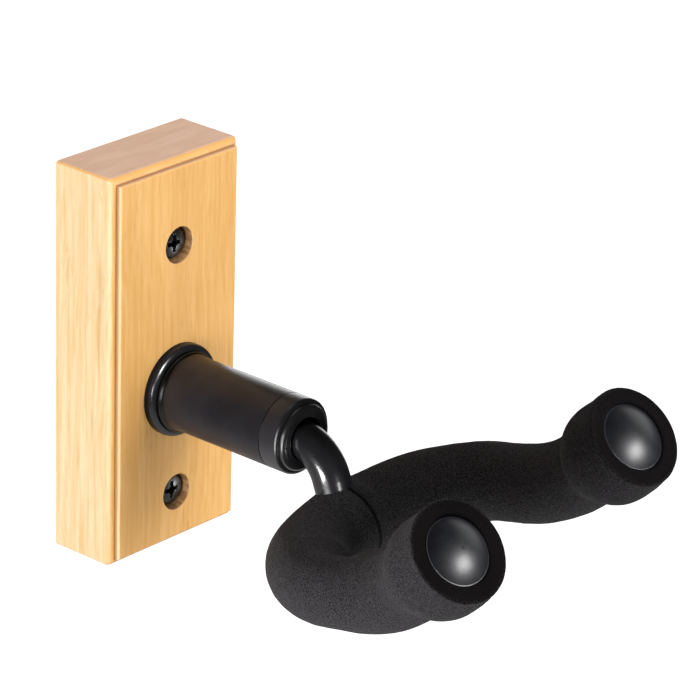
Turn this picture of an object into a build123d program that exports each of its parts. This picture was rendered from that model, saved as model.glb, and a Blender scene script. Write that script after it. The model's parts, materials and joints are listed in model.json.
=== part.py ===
from build123d import *
import math
import os

# Wall guitar hanger. Millimetres, +Z up, the instrument side faces -Y.
# The origin is the centre of the block's back face, which lies on the wall.

# ---- wood block ----
block_width = 52.0
block_height = 120.0
shoulder_depth = 22.0
field_depth = 23.8
field_inset = 2.2
edge_radius = 2.0
field_edge_radius = 0.5
corner_radius = 1.0

# ---- wall screws ----
upper_screw_z = 34.0
lower_screw_z = -43.6
screw_pocket_radius = 5.6
screw_pocket_floor = 17.9
screw_hole_radius = 2.3
screw_head_radius = 4.55
screw_head_height = 3.3
screw_crown = 0.7
screw_neck_radius = 1.75
screw_thread_radius = 2.1
screw_reach = 19.0
screw_point = 4.5
cross_length = 5.0
cross_width = 1.1
cross_depth = 2.0

# ---- swivel housing, turned about an axis along Y ----
axis_z = -10.6
tube_radius = 11.3
tube_bore_radius = 8.8
tube_shoulder_y = -26.2
tube_front_y = -66.2
spigot_radius = 10.3
spigot_rear_y = -17.8
collar_radius = 14.0
collar_bead_y = -26.9
fit_gap = 0.05
plug_front_y = -30.5
bolt_radius = 4.0
bolt_hole_radius = 4.2
bolt_length = 20.0
bolt_head_height = 5.3
bolt_head_across_flats = 13.0
bolt_pocket_radius = 9.3
bolt_pocket_depth = 8.5
washer_radius = 8.0
washer_thickness = 1.6
cap_face_y = -74.2
cap_mouth_radius = 6.3
cap_spigot_rear_y = -58.0
bush_seat_y = -70.0
bush_radius = 7.5
rear_bush_y = -34.0
rear_bush_length = 10.0

# ---- swivel stem and its axial stack ----
rod_radius = 5.5
running_gap = 0.06
stem_rear_y = -31.0
stem_bend_radius = 13.0
stem_corner_y = -80.3
stem_drop = 24.2
clip_y = -54.4
clip_thickness = 1.2
clip_groove_depth = 0.5
clip_radius = 8.0
spring_thickness = 0.5
thrust_washer_thickness = 1.0

# ---- yoke ----
rest_turn = 7.5
yoke_rise = 14.0
arm_start = 4.3
side_bend_radius = 31.0
side_bend_angle = 88.0
arm_straight = 9.3
rise_bend_radius = 50.0
rise_bend_angle = 28.0
tip_straight = 23.7
bar_short_of_tip = 6.0

# ---- foam sleeves and tip caps ----
foam_radius = 11.3
foam_tip_radius = 14.7
foam_tip_length = 19.5
foam_tip_shoulder = 9.0
tip_cap_radius = 10.2
tip_cap_length = 16.0
tip_cap_taper = 3.0
tip_cap_neck_radius = 7.0
tip_cap_recess = 0.6
tip_cap_dome = 3.2
tip_cap_rim_radius = 0.8

os.makedirs("parts", exist_ok=True)


def save(builder, name):
    """Label the finished piece and write its STEP file."""
    builder.part.label = name
    export_step(builder.part, f"parts/{name}.step")


def wall_plane(y, z=0.0):
    """A sketch plane parallel to the wall at depth y, its normal away from the wall."""
    return Plane(origin=(0, y, z), x_dir=(1, 0, 0), z_dir=(0, -1, 0))


swivel_axis = Axis((0, 0, axis_z), (0, 1, 0))
# Profiles of turned pieces: local x is the radius, local y is the depth along +Y.
turning_plane = Plane(origin=(0, 0, axis_z), x_dir=(1, 0, 0), z_dir=(0, 0, 1))


def turned_ring(inner, outer, rear_y, front_y):
    """Revolve a plain ring between two radii and two depths about the swivel axis."""
    with BuildPart() as ring:
        with BuildSketch(turning_plane):
            with Locations(((inner + outer) / 2, (rear_y + front_y) / 2)):
                Rectangle(outer - inner, rear_y - front_y)
        revolve(axis=swivel_axis)
    return ring


# ---- wood block: a thick board with rounded front edges and a proud flat field ----
with BuildPart() as wood_block:
    with BuildSketch(wall_plane(0)):
        Rectangle(block_width, block_height)
    extrude(amount=shoulder_depth)
    fillet(wood_block.edges().filter_by(Axis.Y), corner_radius)
    front_face = wood_block.faces().sort_by(Axis.Y)[0]
    fillet(front_face.edges(), edge_radius)
    with BuildSketch(wall_plane(-shoulder_depth)):
        Rectangle(block_width - 2 * field_inset, block_height - 2 * field_inset)
    extrude(amount=field_depth - shoulder_depth)
    field_face = wood_block.faces().sort_by(Axis.Y)[0]
    fillet(field_face.edges(), field_edge_radius)
    # two screw holes, with pockets from the front
    for screw_z in (upper_screw_z, lower_screw_z):
        with Locations(wall_plane(-field_depth, screw_z)):
            CounterBoreHole(screw_hole_radius, screw_pocket_radius, field_depth - screw_pocket_floor)
    # socket for the housing's spigot, and the bolt hole with its pocket in the back
    with Locations(wall_plane(-field_depth, axis_z)):
        CounterBoreHole(bolt_hole_radius, spigot_radius + fit_gap, field_depth + spigot_rear_y)
    with BuildSketch(wall_plane(0, axis_z)):
        Circle(bolt_pocket_radius)
    extrude(amount=bolt_pocket_depth, mode=Mode.SUBTRACT)
save(wood_block, "wood_block")


# ---- wall screws: pan head with a cross recess, smooth neck, thread past the wall face ----
def make_wall_screw(screw_z):
    head_under_y = -screw_pocket_floor
    head_rim_y = head_under_y - screw_head_height
    crown_y = head_rim_y - screw_crown
    screw_plane = Plane(origin=(0, 0, screw_z), x_dir=(1, 0, 0), z_dir=(0, 0, 1))
    with BuildPart() as screw:
        with BuildSketch(screw_plane):
            with BuildLine():
                Line((0, crown_y), (0, screw_reach))
                Line((0, screw_reach), (screw_thread_radius, screw_reach - screw_point))
                Line((screw_thread_radius, screw_reach - screw_point), (screw_thread_radius, 0))
                Line((screw_thread_radius, 0), (screw_neck_radius, 0))
                Line((screw_neck_radius, 0), (screw_neck_radius, head_under_y))
                Line((screw_neck_radius, head_under_y), (screw_head_radius, head_under_y))
                Line((screw_head_radius, head_under_y), (screw_head_radius, head_rim_y))
                SagittaArc((screw_head_radius, head_rim_y), (0, crown_y), -screw_crown / 4)
            make_face()
        revolve(axis=Axis((0, 0, screw_z), (0, 1, 0)))
        with BuildSketch(wall_plane(crown_y, screw_z)):
            Rectangle(cross_length, cross_width)
            Rectangle(cross_width, cross_length)
        extrude(amount=-cross_depth, taper=8, mode=Mode.SUBTRACT)
    return screw


save(make_wall_screw(upper_screw_z), "wall_screw_upper")
save(make_wall_screw(lower_screw_z), "wall_screw_lower")

# ---- collar ring: a turned trim ring with a rounded bead, held under the tube's shoulder ----
with BuildPart() as collar_ring:
    with BuildSketch(turning_plane):
        with BuildLine():
            Line((spigot_radius + fit_gap, -field_depth), (collar_radius, -field_depth))
            Line((collar_radius, -field_depth), (collar_radius, -field_depth - 1.2))
            ThreePointArc(
                (collar_radius, -field_depth - 1.2),
                (collar_radius - 0.5, collar_bead_y + 0.45),
                (collar_radius - 1.5, collar_bead_y),
            )
            ThreePointArc(
                (collar_radius - 1.5, collar_bead_y),
                (collar_radius - 2.2, collar_bead_y + 0.25),
                (tube_radius + 0.2, tube_shoulder_y),
            )
            Line((tube_radius + 0.2, tube_shoulder_y), (spigot_radius + fit_gap, tube_shoulder_y))
            Line((spigot_radius + fit_gap, tube_shoulder_y), (spigot_radius + fit_gap, -field_depth))
        make_face()
    revolve(axis=swivel_axis)
save(collar_ring, "collar_ring")

# ---- swivel tube: the round housing, with a thinner spigot let into the block ----
with BuildPart() as swivel_tube:
    with BuildSketch(wall_plane(spigot_rear_y, axis_z)):
        Circle(spigot_radius)
    extrude(amount=spigot_rear_y - tube_shoulder_y)
    with BuildSketch(wall_plane(tube_shoulder_y, axis_z)):
        Circle(tube_radius)
    extrude(amount=tube_shoulder_y - tube_front_y)
    shoulder_edge = swivel_tube.edges().filter_by(GeomType.CIRCLE).group_by(SortBy.RADIUS)[-1].sort_by(Axis.Y)[-1]
    fillet(shoulder_edge, 0.5)
    with BuildSketch(wall_plane(spigot_rear_y, axis_z)):
        Circle(tube_bore_radius)
    extrude(amount=spigot_rear_y - tube_front_y, mode=Mode.SUBTRACT)
save(swivel_tube, "swivel_tube")

# ---- tube plug: the threaded steel insert that the fixing bolt pulls on ----
save(
    turned_ring(bolt_radius + fit_gap, tube_bore_radius - fit_gap, spigot_rear_y, plug_front_y),
    "tube_plug",
)

# ---- fixing bolt and washer in the pocket behind the block ----
washer_front_y = -bolt_pocket_depth
washer_rear_y = washer_front_y + washer_thickness
save(turned_ring(bolt_hole_radius, washer_radius, washer_rear_y, washer_front_y), "bolt_washer")

with BuildPart() as fixing_bolt:
    with BuildSketch(wall_plane(washer_rear_y + bolt_head_height, axis_z)):
        RegularPolygon(bolt_head_across_flats / 2, 6, major_radius=False)
    extrude(amount=bolt_head_height)
    rear_head_face = fixing_bolt.faces().sort_by(Axis.Y)[-1]
    chamfer(rear_head_face.edges(), 0.5)
    with BuildSketch(wall_plane(washer_rear_y, axis_z)):
        Circle(bolt_radius)
    extrude(amount=bolt_length)
    chamfer(fixing_bolt.faces().sort_by(Axis.Y)[0].edges(), 0.8)
save(fixing_bolt, "fixing_bolt")

# ---- end cap: closes the tube, carries the front bush and shows a grooved lip ----
cap_groove_y = cap_face_y + 2.2
with BuildPart() as end_cap:
    with BuildSketch(turning_plane):
        with BuildLine():
            Polyline(
                (cap_mouth_radius, cap_face_y + 0.4),
                (cap_mouth_radius, bush_seat_y),
                (bush_radius + fit_gap / 2, bush_seat_y),
                (bush_radius + fit_gap / 2, cap_spigot_rear_y),
                (tube_bore_radius - fit_gap, cap_spigot_rear_y),
                (tube_bore_radius - fit_gap, tube_front_y),
                (tube_radius, tube_front_y),
                (tube_radius, cap_groove_y + 0.9),
            )
            ThreePointArc(
                (tube_radius, cap_groove_y + 0.9),
                (tube_radius - 0.26, cap_groove_y + 0.26),
                (tube_radius - 0.9, cap_groove_y),
            )
            Line((tube_radius - 0.9, cap_groove_y), (tube_radius - 0.9, cap_groove_y - 0.4))
            Line((tube_radius - 0.9, cap_groove_y - 0.4), (tube_radius - 0.6, cap_groove_y - 0.4))
            ThreePointArc(
                (tube_radius - 0.6, cap_groove_y - 0.4),
                (tube_radius - 0.95, cap_face_y + 0.45),
                (tube_radius - 1.8, cap_face_y),
            )
            Line((tube_radius - 1.8, cap_face_y), (cap_mouth_radius + 0.4, cap_face_y))
            Line((cap_mouth_radius + 0.4, cap_face_y), (cap_mouth_radius, cap_face_y + 0.4))
        make_face()
    revolve(axis=swivel_axis)
save(end_cap, "end_cap")

# ---- nylon bushes that the stem turns in ----
bush_bore_radius = rod_radius + running_gap
save(turned_ring(bush_bore_radius, bush_radius, cap_spigot_rear_y, bush_seat_y), "front_bush")
save(
    turned_ring(bush_bore_radius, tube_bore_radius - fit_gap, rear_bush_y, rear_bush_y - rear_bush_length),
    "rear_bush",
)

# ---- the swivelling yoke, drawn in its own frame on the swivel axis ----
# Local x runs to the yoke's right, local y along the axis and local z up, all turned by
# the angle at which the yoke rests.
turn = math.radians(rest_turn)
yoke_frame = Plane(
    origin=(0, 0, axis_z),
    x_dir=(math.cos(turn), 0, math.sin(turn)),
    z_dir=(-math.sin(turn), 0, math.cos(turn)),
)
rise = math.radians(yoke_rise)
forward = Vector(0, -math.cos(rise), math.sin(rise))
plane_normal = Vector(0, math.sin(rise), math.cos(rise))
stem_corner = Vector(0, stem_corner_y, 0)
bar_middle = stem_corner - plane_normal * stem_drop


def placed(local_point):
    """Carry a point of the yoke's frame into the part."""
    return yoke_frame.from_local_coords(local_point)


def aimed(local_direction):
    """Carry a direction of the yoke's frame into the part."""
    return placed(local_direction) - yoke_frame.origin


def arm_points(side, shortened):
    """One arm's two corners and its end, cut short by a length, and the way its end points."""
    sideways = Vector(side, 0, 0)
    side_bend = math.radians(side_bend_angle)
    rise_bend = math.radians(rise_bend_angle)
    side_tangent = side_bend_radius * math.tan(side_bend / 2)
    rise_tangent = rise_bend_radius * math.tan(rise_bend / 2)
    heading = sideways * math.cos(side_bend) + forward * math.sin(side_bend)
    tip_direction = heading * math.cos(rise_bend) + plane_normal * math.sin(rise_bend)
    side_corner = bar_middle + sideways * (arm_start + side_tangent)
    rise_corner = side_corner + heading * (side_tangent + arm_straight + rise_tangent)
    end = rise_corner + tip_direction * (rise_tangent + tip_straight - shortened)
    return placed(side_corner), placed(rise_corner), placed(end), aimed(tip_direction)


def start_plane(path):
    """The plane square to the start of a path."""
    return Plane(origin=path.line @ 0, z_dir=path.line % 0)


# ---- yoke bar: one rod bent to a U whose ends rise ----
left_side_corner, left_rise_corner, left_end, _ = arm_points(-1, bar_short_of_tip)
right_side_corner, right_rise_corner, right_end, _ = arm_points(1, bar_short_of_tip)
with BuildPart() as yoke_bar:
    with BuildLine() as bar_path:
        FilletPolyline(
            left_end,
            left_rise_corner,
            left_side_corner,
            right_side_corner,
            right_rise_corner,
            right_end,
            radius=[rise_bend_radius, side_bend_radius, side_bend_radius, rise_bend_radius],
        )
    with BuildSketch(start_plane(bar_path)):
        Circle(rod_radius)
    sweep(path=bar_path.line)
save(yoke_bar, "yoke_bar")

# ---- swivel stem: a rod bent down, grooved for the clip and coped onto the bar ----
with BuildPart() as swivel_stem:
    with BuildLine() as stem_path:
        FilletPolyline(
            placed(Vector(0, stem_rear_y, 0)), placed(stem_corner), placed(bar_middle), radius=stem_bend_radius
        )
    with BuildSketch(start_plane(stem_path)):
        Circle(rod_radius)
    sweep(path=stem_path.line)
    chamfer(swivel_stem.faces().sort_by(Axis.Y)[-1].edges(), 0.8)
    with BuildSketch(turning_plane):
        with Locations((rod_radius, clip_y - clip_thickness / 2)):
            Rectangle(2 * clip_groove_depth, clip_thickness + fit_gap)
    revolve(axis=swivel_axis, mode=Mode.SUBTRACT)
    add(yoke_bar.part, mode=Mode.SUBTRACT)
save(swivel_stem, "swivel_stem")

# ---- weld bead round the joint of stem and bar ----
# Its profile stands on the bar's middle: local x is the radius from the leg's axis and
# local y runs up the leg.
leg_direction = aimed(plane_normal)
weld_plane = Plane(
    origin=placed(bar_middle),
    x_dir=aimed(Vector(1, 0, 0)),
    z_dir=aimed(Vector(1, 0, 0)).cross(leg_direction),
)
with BuildPart() as weld_blank:
    with BuildSketch(weld_plane):
        with BuildLine():
            Polyline(
                (0, rod_radius - 3.5),
                (rod_radius + 1.7, rod_radius - 3.5),
                (rod_radius + 1.5, rod_radius),
                (rod_radius + 0.1, rod_radius + 2.4),
                (0, rod_radius + 2.4),
                close=True,
            )
        make_face()
    revolve(axis=Axis(weld_plane.origin, leg_direction))
with BuildPart() as stem_weld:
    add(weld_blank.part)
    add(yoke_bar.part, mode=Mode.SUBTRACT)
    add(swivel_stem.part, mode=Mode.SUBTRACT)
save(stem_weld, "stem_weld")

# ---- axial stack on the stem: thrust washer, cone spring and retaining clip ----
thrust_front_y = cap_spigot_rear_y + running_gap
thrust_rear_y = thrust_front_y + thrust_washer_thickness
save(turned_ring(rod_radius + fit_gap, clip_radius, thrust_rear_y, thrust_front_y), "thrust_washer")

clip_rear_y = clip_y
clip_front_y = clip_y - clip_thickness
with BuildPart() as cone_spring:
    with BuildSketch(turning_plane):
        with BuildLine():
            Polyline(
                (rod_radius + 0.2, clip_front_y),
                (rod_radius + 0.2, clip_front_y - spring_thickness),
                (clip_radius, thrust_rear_y),
                (clip_radius, thrust_rear_y + spring_thickness),
                close=True,
            )
        make_face()
    revolve(axis=swivel_axis)
save(cone_spring, "cone_spring")

with BuildPart() as retaining_clip:
    with BuildSketch(wall_plane(clip_rear_y, axis_z)):
        Circle(clip_radius)
        Circle(rod_radius - clip_groove_depth, mode=Mode.SUBTRACT)
        with Locations((0, -clip_radius)):
            Rectangle(rod_radius, 2 * clip_radius, mode=Mode.SUBTRACT)
    extrude(amount=clip_thickness)
save(retaining_clip, "retaining_clip")


# ---- tip caps and foam sleeves: made on the right arm and mirrored onto the left ----
_, _, tip_centre, tip_direction = arm_points(1, 0)
tip_across = aimed(Vector(1, 0, 0)).cross(tip_direction).normalized()
# Profiles at the arm's end: local x is the radius and local y points out of the end.
tip_plane = Plane(origin=tip_centre, x_dir=tip_across, z_dir=tip_across.cross(tip_direction))
tip_axis = Axis(tip_centre, tip_direction)
middle_plane = Plane(origin=yoke_frame.origin, z_dir=yoke_frame.x_dir)

# a round plastic cap with a domed front, blind bored for the bar's end
cap_rear = -tip_cap_recess - tip_cap_length
dome_apex = (0, tip_cap_dome - tip_cap_recess)
dome_edge_radius = tip_cap_radius - tip_cap_rim_radius
half_dome = math.atan2(tip_cap_dome, dome_edge_radius)
dome_radius = dome_edge_radius / math.sin(2 * half_dome)
rim_start = (tip_cap_radius, -tip_cap_recess - tip_cap_rim_radius)
rim_end = (dome_edge_radius, -tip_cap_recess)
with BuildPart() as tip_cap_right:
    with BuildSketch(tip_plane):
        with BuildLine():
            Polyline(
                dome_apex,
                (0, -bar_short_of_tip),
                (rod_radius, -bar_short_of_tip),
                (rod_radius, cap_rear),
                (tip_cap_neck_radius, cap_rear),
                (tip_cap_radius, cap_rear + tip_cap_taper),
                rim_start,
            )
            RadiusArc(rim_start, rim_end, -tip_cap_rim_radius)
            RadiusArc(rim_end, dome_apex, -dome_radius)
        make_face()
    revolve(axis=tip_axis)
save(tip_cap_right, "tip_cap_right")

with BuildPart() as tip_cap_left:
    mirror(tip_cap_right.part, about=middle_plane)
save(tip_cap_left, "tip_cap_left")

# A foam tube over one arm, fattened where it is stretched over the tip cap. The shoulder
# swells from just under the arm's surface and runs out along the tip.
shoulder_start = (foam_radius - 0.5, -foam_tip_length)
shoulder_end = (foam_tip_radius, foam_tip_shoulder - foam_tip_length)
shoulder_rise = shoulder_end[0] - shoulder_start[0]
shoulder_radius = (foam_tip_shoulder**2 + shoulder_rise**2) / (2 * shoulder_rise)
with BuildPart() as foam_sleeve_right:
    with BuildLine() as arm_path:
        FilletPolyline(
            placed(bar_middle),
            right_side_corner,
            right_rise_corner,
            tip_centre,
            radius=[side_bend_radius, rise_bend_radius],
        )
    with BuildSketch(start_plane(arm_path)):
        Circle(foam_radius)
    sweep(path=arm_path.line)
    with BuildSketch(tip_plane):
        with BuildLine():
            Polyline((0, 0), (0, -foam_tip_length), shoulder_start)
            RadiusArc(shoulder_start, shoulder_end, -shoulder_radius)
            Polyline(shoulder_end, (foam_tip_radius, -0.5), (foam_tip_radius - 0.5, 0), (0, 0))
        make_face()
    revolve(axis=tip_axis)
    add(yoke_bar.part, mode=Mode.SUBTRACT)
    add(tip_cap_right.part, mode=Mode.SUBTRACT)
    add(swivel_stem.part, mode=Mode.SUBTRACT)
    add(stem_weld.part, mode=Mode.SUBTRACT)
save(foam_sleeve_right, "foam_sleeve_right")

with BuildPart() as foam_sleeve_left:
    mirror(foam_sleeve_right.part, about=middle_plane)
save(foam_sleeve_left, "foam_sleeve_left")
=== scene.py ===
import json
import math

import bpy
from mathutils import Matrix, Vector, noise

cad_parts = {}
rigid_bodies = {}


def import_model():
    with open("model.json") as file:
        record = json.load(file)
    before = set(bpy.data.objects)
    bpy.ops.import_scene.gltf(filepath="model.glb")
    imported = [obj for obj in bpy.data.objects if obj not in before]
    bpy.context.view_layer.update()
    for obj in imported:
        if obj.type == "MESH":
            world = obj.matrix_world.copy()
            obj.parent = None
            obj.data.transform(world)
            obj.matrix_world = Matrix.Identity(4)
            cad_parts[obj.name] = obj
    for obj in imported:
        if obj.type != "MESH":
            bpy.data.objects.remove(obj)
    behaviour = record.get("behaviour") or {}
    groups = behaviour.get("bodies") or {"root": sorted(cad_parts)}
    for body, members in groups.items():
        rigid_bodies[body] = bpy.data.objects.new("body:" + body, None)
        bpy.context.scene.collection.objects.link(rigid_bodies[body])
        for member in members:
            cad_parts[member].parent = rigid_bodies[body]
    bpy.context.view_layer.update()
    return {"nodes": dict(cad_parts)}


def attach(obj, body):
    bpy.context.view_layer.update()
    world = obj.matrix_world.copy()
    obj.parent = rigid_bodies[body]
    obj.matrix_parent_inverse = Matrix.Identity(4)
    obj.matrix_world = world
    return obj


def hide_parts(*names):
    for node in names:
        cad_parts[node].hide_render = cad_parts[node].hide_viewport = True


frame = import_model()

MM = 0.001
nodes = frame["nodes"]
scene = bpy.context.scene
scene.view_settings.view_transform = "Standard"

# ---------------------------------------------------------------- sizes (mm, as the CAD has them)
AXIS_Z = -10.6
FIELD_Y = -23.8
BLOCK_HALF_X = 26.0
BLOCK_HALF_Z = 60.0
FIELD_INSET = 2.2
SHOULDER_Y = -22.0
SCREW_ZS = {"wall_screw_upper": 34.0, "wall_screw_lower": -43.6}
POCKET_RADIUS = 5.6
POCKET_FLOOR_Y = -17.9
BOLT_POCKET_RADIUS = 9.3
TUBE_RADIUS = 11.3
TUBE_BORE_RADIUS = 8.8
TUBE_FRONT_Y = -66.2
SPIGOT_RADIUS = 10.3
SPIGOT_REAR_Y = -17.8
FOOT_FRONT_Y = -30.2
COLLAR_FLANK_Y = -26.0
CAP_REAR_Y = -58.0
CAP_SHOULDER_Y = -72.7
CAP_MOUTH_RADIUS = 6.3
BUSH_SEAT_RADIUS = 7.53
BUSH_SEAT_Y = -70.0

REST_TURN = math.radians(7.5)
YOKE_RISE = math.radians(14.0)
STEM_CORNER_Y = -80.3
STEM_DROP = 24.2
ARM_START = 4.3
SIDE_RADIUS = 31.0
SIDE_ANGLE = math.radians(88.0)
ARM_STRAIGHT = 9.3
RISE_RADIUS = 50.0
RISE_ANGLE = math.radians(28.0)
TIP_STRAIGHT = 23.7
BEND_LENGTH = ARM_START + SIDE_RADIUS * SIDE_ANGLE + ARM_STRAIGHT + RISE_RADIUS * RISE_ANGLE
ARM_LENGTH = BEND_LENGTH + TIP_STRAIGHT
FOAM_RADIUS = 11.3
TIP_RADIUS = 14.7
TIP_LENGTH = 19.5
CAP_RADIUS = 10.2
ROD_RADIUS = 5.5


# ---------------------------------------------------------------- camera
# image and focal length in pixels, sensor in mm, angles in radians, distance in mm
IMAGE_SIZE = 698.0
SENSOR_WIDTH = 36.0
FOCAL_PIXELS = 4264.68234
CAMERA_YAW, CAMERA_PITCH, CAMERA_ROLL = -0.853936285, 0.400120791, 0.0290087314
CAMERA_DISTANCE = 1245.870
# how far the object's origin lies right of and above the middle of the view (mm)
ORIGIN_RIGHT, ORIGIN_UP = -67.0947, 5.0181


def make_camera():
    pitch_cos, pitch_sin = math.cos(CAMERA_PITCH), math.sin(CAMERA_PITCH)
    back = Vector((math.sin(CAMERA_YAW) * pitch_cos, -math.cos(CAMERA_YAW) * pitch_cos, pitch_sin))
    level = Vector((math.cos(CAMERA_YAW), math.sin(CAMERA_YAW), 0.0))
    rise = back.cross(level)
    right = level * math.cos(CAMERA_ROLL) + rise * math.sin(CAMERA_ROLL)
    up = rise * math.cos(CAMERA_ROLL) - level * math.sin(CAMERA_ROLL)
    data = bpy.data.cameras.new("camera")
    data.sensor_width = SENSOR_WIDTH
    data.lens = FOCAL_PIXELS * SENSOR_WIDTH / IMAGE_SIZE
    data.clip_start = 0.05
    data.clip_end = 30.0
    cam = bpy.data.objects.new("camera", data)
    place = (back * CAMERA_DISTANCE - right * ORIGIN_RIGHT - up * ORIGIN_UP) * MM
    turn = Matrix((right, up, back)).transposed().to_4x4()
    cam.matrix_world = Matrix.Translation(place) @ turn
    scene.collection.objects.link(cam)
    scene.camera = cam


make_camera()


# ---------------------------------------------------------------- node helpers
class Graph:
    """A material's node tree with short calls for the nodes used here."""

    def __init__(self, name, **shader):
        self.material = bpy.data.materials.new(name)
        self.material.use_nodes = True
        self.tree = self.material.node_tree
        self.tree.nodes.clear()
        output = self.add("ShaderNodeOutputMaterial")
        self.shader = self.add("ShaderNodeBsdfPrincipled")
        self.tree.links.new(self.shader.outputs[0], output.inputs["Surface"])
        for key, value in shader.items():
            self.shader.inputs[key.replace("_", " ")].default_value = value
        coordinates = self.add("ShaderNodeTexCoord")
        self.position = coordinates.outputs["Object"]
        self.normal = coordinates.outputs["Normal"]
        self.x, self.y, self.z = self.split(self.position)
        self.x_mm = self.math("MULTIPLY", self.x, 1000.0)
        self.y_mm = self.math("MULTIPLY", self.y, 1000.0)
        self.z_mm = self.math("MULTIPLY", self.z, 1000.0)

    def add(self, kind, **attributes):
        item = self.tree.nodes.new(kind)
        for key, value in attributes.items():
            setattr(item, key, value)
        return item

    def put(self, socket, value):
        if isinstance(value, bpy.types.NodeSocket):
            self.tree.links.new(value, socket)
        elif isinstance(value, tuple) and len(value) == 3 and socket.type == "RGBA":
            socket.default_value = (*value, 1.0)
        else:
            socket.default_value = value

    def math(self, operation, a, b=0.0, c=0.0):
        item = self.add("ShaderNodeMath", operation=operation)
        for socket, value in zip(item.inputs, (a, b, c)):
            self.put(socket, value)
        return item.outputs[0]

    def times(self, a, b):
        return self.math("MULTIPLY", a, b)

    def size(self, value):
        return self.math("ABSOLUTE", value)

    def split(self, vector):
        item = self.add("ShaderNodeSeparateXYZ")
        self.put(item.inputs[0], vector)
        return item.outputs

    def join(self, x, y, z):
        item = self.add("ShaderNodeCombineXYZ")
        for socket, value in zip(item.inputs, (x, y, z)):
            self.put(socket, value)
        return item.outputs[0]

    def scaled(self, vector, scale):
        item = self.add("ShaderNodeVectorMath", operation="MULTIPLY")
        self.put(item.inputs[0], vector)
        self.put(item.inputs[1], scale)
        return item.outputs[0]

    def noise(self, vector, scale, detail=2.0, roughness=0.5):
        item = self.add("ShaderNodeTexNoise")
        self.put(item.inputs["Vector"], vector)
        item.inputs["Scale"].default_value = scale
        item.inputs["Detail"].default_value = detail
        item.inputs["Roughness"].default_value = roughness
        return item.outputs["Fac"]

    def stretched(self, vector, stretch, detail=2.0, roughness=0.5):
        """Noise with its own scale along each axis."""
        return self.noise(self.scaled(vector, stretch), 1.0, detail, roughness)

    def noise_line(self, w, scale):
        item = self.add("ShaderNodeTexNoise", noise_dimensions="1D")
        self.put(item.inputs["W"], w)
        item.inputs["Scale"].default_value = scale
        return item.outputs["Fac"]

    def cells(self, vector, scale):
        item = self.add("ShaderNodeTexVoronoi")
        self.put(item.inputs["Vector"], vector)
        item.inputs["Scale"].default_value = scale
        return item.outputs["Distance"]

    def fit(self, value, low, high, to_low=0.0, to_high=1.0):
        """Smooth step from to_low at low to to_high at high."""
        item = self.add("ShaderNodeMapRange", clamp=True, interpolation_type="SMOOTHSTEP")
        for socket, given in zip(item.inputs, (value, low, high, to_low, to_high)):
            self.put(socket, given)
        return item.outputs[0]

    def mix(self, factor, a, b):
        item = self.add("ShaderNodeMix", data_type="RGBA")
        self.put(item.inputs[0], factor)
        self.put(item.inputs[6], a)
        self.put(item.inputs[7], b)
        return item.outputs[2]

    def bump(self, height, strength, distance, below=None):
        item = self.add("ShaderNodeBump")
        item.inputs["Strength"].default_value = strength
        item.inputs["Distance"].default_value = distance
        self.put(item.inputs["Height"], height)
        if below is not None:
            self.put(item.inputs["Normal"], below)
        return item.outputs[0]

    def give(self, **links):
        for key, value in links.items():
            self.put(self.shader.inputs[key.replace("_", " ")], value)
        return self.material

    def length(self, a, b):
        return self.math("SQRT", self.math("ADD", self.times(a, a), self.times(b, b)))

    def radius(self, centre_z):
        """Distance from the line along Y at height centre_z (mm), in mm."""
        return self.length(self.x_mm, self.math("SUBTRACT", self.z_mm, centre_z))

    def near(self, value, centre, half_width, soft):
        """1 within half_width of centre, falling to 0 over soft."""
        gap = self.size(self.math("SUBTRACT", value, centre))
        return self.fit(gap, half_width, half_width + soft, 1.0, 0.0)


# ---------------------------------------------------------------- materials
def long_grain(g, bands):
    """Colour of the faces cut along the grain, with the fibre and fleck fields that shape it."""
    drift = g.math("MULTIPLY_ADD", g.stretched(g.position, (60.0, 60.0, 22.0)), 0.0070, -0.0035)
    flow = g.join(g.math("ADD", g.x, drift), g.math("ADD", g.y, drift), g.z)
    wide = g.stretched(flow, (75.0, 75.0, 6.0), 3.0, 0.6)
    streaks = g.stretched(flow, (760.0, 760.0, 26.0), 4.0, 0.66)
    fibres = g.stretched(flow, (3600.0, 3600.0, 150.0), 2.0, 0.6)
    # the side faces get paler, creamier copies of each colour: partly the wood's own look there, partly
    # painted light of the brightly lit sides
    side_face_lit = g.fit(g.size(g.split(g.normal)[0]), 0.35, 0.85)
    pale = g.mix(side_face_lit, (0.830, 0.480, 0.170), (0.920, 0.740, 0.475))
    honey = g.mix(side_face_lit, (0.740, 0.405, 0.130), (0.890, 0.680, 0.405))
    brown = g.mix(side_face_lit, (0.680, 0.350, 0.085), (0.800, 0.510, 0.215))
    light = g.mix(side_face_lit, (0.90, 0.590, 0.250), (0.930, 0.730, 0.450))
    colour = g.mix(g.fit(wide, 0.32, 0.68), pale, honey)
    colour = g.mix(g.times(bands, 0.45), colour, brown)
    colour = g.mix(g.fit(streaks, 0.45, 0.68, 0.0, 0.80), colour, brown)
    colour = g.mix(g.fit(streaks, 0.50, 0.28, 0.0, 0.35), colour, light)
    colour = g.mix(g.fit(fibres, 0.42, 0.66, 0.0, 0.28), colour, brown)
    # short dark pore flecks lying along the grain
    flecks = g.fit(g.stretched(g.position, (1500.0, 1500.0, 130.0), 0.0), 0.715, 0.80)
    scarce = g.fit(g.stretched(g.position, (90.0, 90.0, 30.0), 1.0), 0.56, 0.70)
    colour = g.mix(g.times(g.times(flecks, scarce), 0.60), colour, (0.48, 0.215, 0.040))
    mineral = g.fit(g.stretched(g.position, (330.0, 330.0, 26.0), 1.0), 0.70, 0.82, 0.0, 0.35)
    colour = g.mix(mineral, colour, (0.56, 0.270, 0.060))
    return colour, wide, streaks, fibres, flecks


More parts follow.
